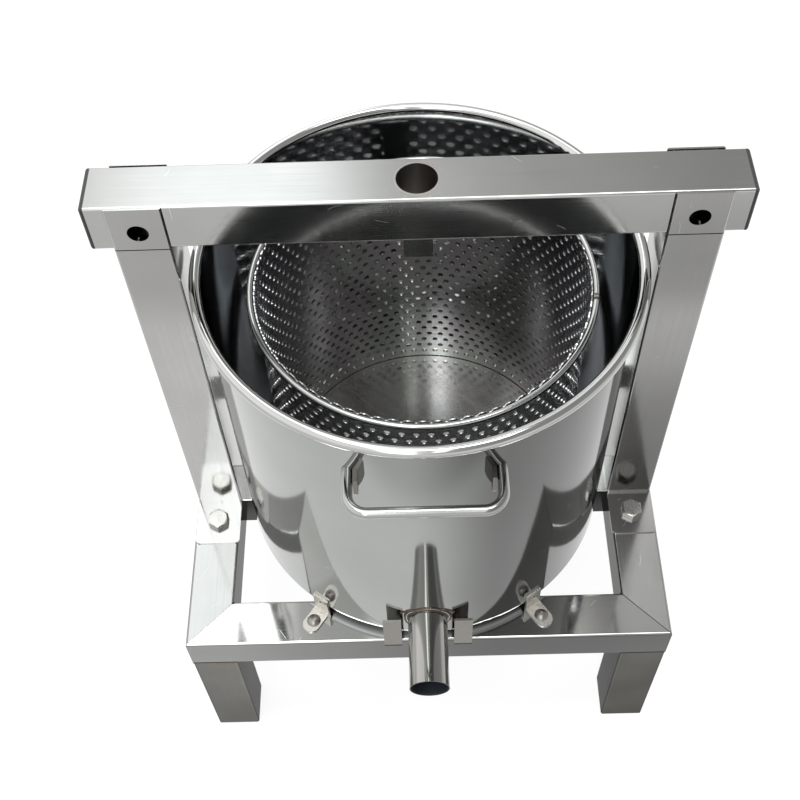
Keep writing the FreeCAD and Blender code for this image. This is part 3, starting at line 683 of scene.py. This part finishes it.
def leg_seams(dark):
    """A bead round the top of each leg."""
    inset = 0.2 * MM
    rounds = []
    for name in ("front_left_leg", "front_right_leg", "rear_left_leg", "rear_right_leg"):
        low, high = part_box(name)
        x = low.x + inset, high.x - inset
        y = low.y + inset, high.y - inset
        corners = [(x[0], y[0]), (x[1], y[0]), (x[1], y[1]), (x[0], y[1]), (x[0], y[0])]
        rounds.append(dense([Vector((a, b, high.z)) for a, b in corners]))
    beads("leg_beads", rounds, 0.6 * MM, dark, ripple=0.8)


def guide_seams(dark):
    """A bead along the front of each spout guide's foot."""
    feet = []
    for name in ("left_spout_guide", "right_spout_guide"):
        low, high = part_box(name)
        feet.append(dense([Vector((low.x, low.y, low.z)), Vector((high.x, low.y, low.z))]))
    beads("guide_beads", feet, 0.6 * MM, dark, ripple=0.6)


# The beads of the repair: how far below the leg's top, and the ends as shares of its width.
REPAIR_ROWS = [(2.2 * MM, 0.50, 0.92), (3.4 * MM, 0.46, 0.88), (4.6 * MM, 0.48, 0.84)]


def heat_patch(material):
    """The brown repair weld at the top of the front left leg: a few short low beads side by side."""
    low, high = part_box("front_left_leg")
    wide = high.x - low.x
    front = low.y + 0.4 * MM
    rows = []
    for drop, start, end in REPAIR_ROWS:
        z = high.z - drop
        rows.append(dense([Vector((low.x + wide * share, front, z)) for share in (start, end)]))
    beads("leg_repair", rows, 0.75 * MM, material, ripple=0.4)


RING_BUTTS = (-9, 157)          # where the rod of the basket's mouth is butt-welded, in degrees from +X


def basket_welds(material):
    """The welded butts of the rod round the basket's mouth, and the seam round its floor."""
    low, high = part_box("basket_rim")
    middle = (low.x + high.x) / 2, (low.y + high.y) / 2
    thick = (high.z - low.z) / 2
    radius = (high.x - low.x) / 2 - thick
    joints = []
    for butt in RING_BUTTS:
        degrees = [butt + share for share in (-1.2, -0.6, 0, 0.6, 1.2)]
        joints.append(circle(middle, radius, high.z - thick, degrees))
    beads("ring_joints", joints, thick + 0.7 * MM, material, "basket", 0.2)
    low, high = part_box("basket_floor")
    radius = (high.x - low.x) / 2 - 1.7 * MM
    seam = circle(middle, radius, low.z + 1.6 * MM, [i / 2 for i in range(721)])
    beads("floor_seam", [seam], 1.1 * MM, material, "basket", 0.6)


# ---------------------------------------------------------------- the model

make_camera()
make_floor()
make_sky()

RAIL_GREY = (0.39, 0.39, 0.38)
# Brushing along one axis, and the even grain of pressed sheet and small parts.
ALONG_X, ALONG_Y, ALONG_Z = (6, 900, 900), (900, 6, 900), (900, 900, 6)
EVEN, FINE = (200, 200, 200), (300, 300, 300)
# The settings of painted_shade for each group of parts, which paint shade and highlight on them: the room
# differs from left to right and from top to side, so their tops and sides differ. A top starts at the round
# of its edge.
RAIL_EDGE = (RAIL_TOP - 1.5 * MM, RAIL_TOP - 0.2 * MM)
BEAM_EDGE = (BEAM_TOP - 1.5 * MM, BEAM_TOP - 0.2 * MM)
X_RAILS = dict(sides=(0.6, 0.17), across=(-0.2, 0.08), top=RAIL_EDGE, crown=(1.6, 1.25), parting=-0.115)
Y_RAILS = dict(sides=(0.7, 0.6), top=(RAIL_TOP - 1.5 * MM, RAIL_TOP), crown=(0.8, 1.3))
CROSS_RAIL = dict(sides=(0.17, 0.08), top=RAIL_EDGE)
UPRIGHTS = dict(sides=(1.0, 0.33), foot=RAIL_TOP + 4 * MM, top=(0.25, 0.55))
LEGS = dict(sides=(1.0, 0.72))
BEAM = dict(sides=(1.5, 1.5), top=BEAM_EDGE, crown=(1.05, 1.2))

spout_low, spout_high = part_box("spout")
spout_centre = (spout_low + spout_high) / 2
spout_bore = (spout_centre.x, 0, spout_centre.z), (spout_high.z - spout_low.z) / 2

tube_x = steel("tube_brushed_x", RAIL_GREY, 0.06, ALONG_X, 0.03, rough_span=0.04, painted_shading=X_RAILS, worn=0.6)
tube_y = steel("tube_brushed_y", RAIL_GREY, 0.1, ALONG_Y, 0.04, painted_shading=Y_RAILS, edge=0.4, worn=0.6)
tube_z = steel("tube_brushed_z", (0.43, 0.425, 0.415), 0.12, ALONG_Z, 0.04, painted_shading=UPRIGHTS, worn=0.4)
cross_steel = steel("cross_rail_brushed", RAIL_GREY, 0.12, ALONG_X, 0.04, painted_shading=CROSS_RAIL)
leg_steel = steel("leg_brushed", (0.32, 0.315, 0.30), 0.16, ALONG_Z, 0.06, mottle=0.1, painted_shading=LEGS,
                  edge=0.25, flank_shade=(0, 0.8))
beam_steel = steel("beam_brushed", (0.33, 0.33, 0.32), 0.12, ALONG_X, painted_shading=BEAM, worn=0.5)
spout_steel = steel("spout_polished", (0.34, 0.335, 0.32), 0.08, rough_span=0.04, mottle=0.03,
                    bore=spout_bore, flank_shade=(1, 0.25))
rod_steel = steel("rod_polished", (0.39, 0.39, 0.38), 0.12, rough_span=0.06, mottle=0.03)
floor_steel = steel("basket_floor_brushed", (0.68, 0.65, 0.63), 0.14, (170, 5, 170), 0.2, turn=-0.8,
                    mottle=0.22, scuffed=60 * MM)
guide_steel = steel("guide_sheet", (0.23, 0.215, 0.195), 0.3, EVEN, 0.1)
clip_steel = steel("clip_sheet", (0.5, 0.48, 0.44), 0.28, EVEN, 0.1)
bolt_steel = steel("fastener_steel", (0.58, 0.57, 0.54), 0.25, FINE, 0.1)
screw_steel = steel("screw_steel", (0.3, 0.28, 0.26), 0.3, FINE, 0.1)
weld_steel = steel("weld_bead", (0.1, 0.08, 0.065), 0.3, FINE, 0.3)
crest_steel = steel("weld_bright", (0.5, 0.47, 0.43), 0.2, FINE, 0.3)
heat_steel = steel("heat_tint", (0.3, 0.2, 0.13), 0.3, FINE, 0.2)
seam_steel = steel("seam_dark", (0.03, 0.027, 0.025), 0.6, FINE, 0.3, metal=0.0)
sheet_steel = sheet_finish()

FINISHES = {
    tube_x: ["front_rail", "rear_rail"],
    tube_y: ["left_rail", "right_rail"],
    tube_z: ["left_upright", "right_upright", "left_fork", "right_fork"],
    cross_steel: ["cross_rail"],
    leg_steel: ["front_left_leg", "front_right_leg", "rear_left_leg", "rear_right_leg"],
    beam_steel: ["crossbeam", "ram_seat", "leg_end_plates"],
    pot_finish(): ["pot"],
    spout_steel: ["spout"],
    rod_steel: ["front_handle", "rear_handle", "basket_rim"],
    sheet_steel: ["basket_wall", "basket_seam", "basket_feet"],
    floor_steel: ["basket_floor"],
    guide_steel: ["left_spout_guide", "right_spout_guide", "handle_lugs"],
    clip_steel: ["front_left_clip", "front_right_clip", "rear_left_clip", "rear_right_clip"],
    bolt_steel: ["foot_bolts", "foot_washers", "foot_nuts"],
    screw_steel: ["clip_screws", "ram_sleeve"],
    weld_steel: ["spout_weld"],
    cap_finish(): ["left_end_cap", "right_end_cap"],
}
for finish, names in FINISHES.items():
    for name in names:
        for place in nodes[name].material_slots:
            place.material = finish

perforated_wall(sheet_steel)
spout_beads(weld_steel, crest_steel)
rail_seams(seam_steel, crest_steel)
leg_seams(seam_steel)
guide_seams(seam_steel)
heat_patch(heat_steel)
basket_welds(weld_steel)
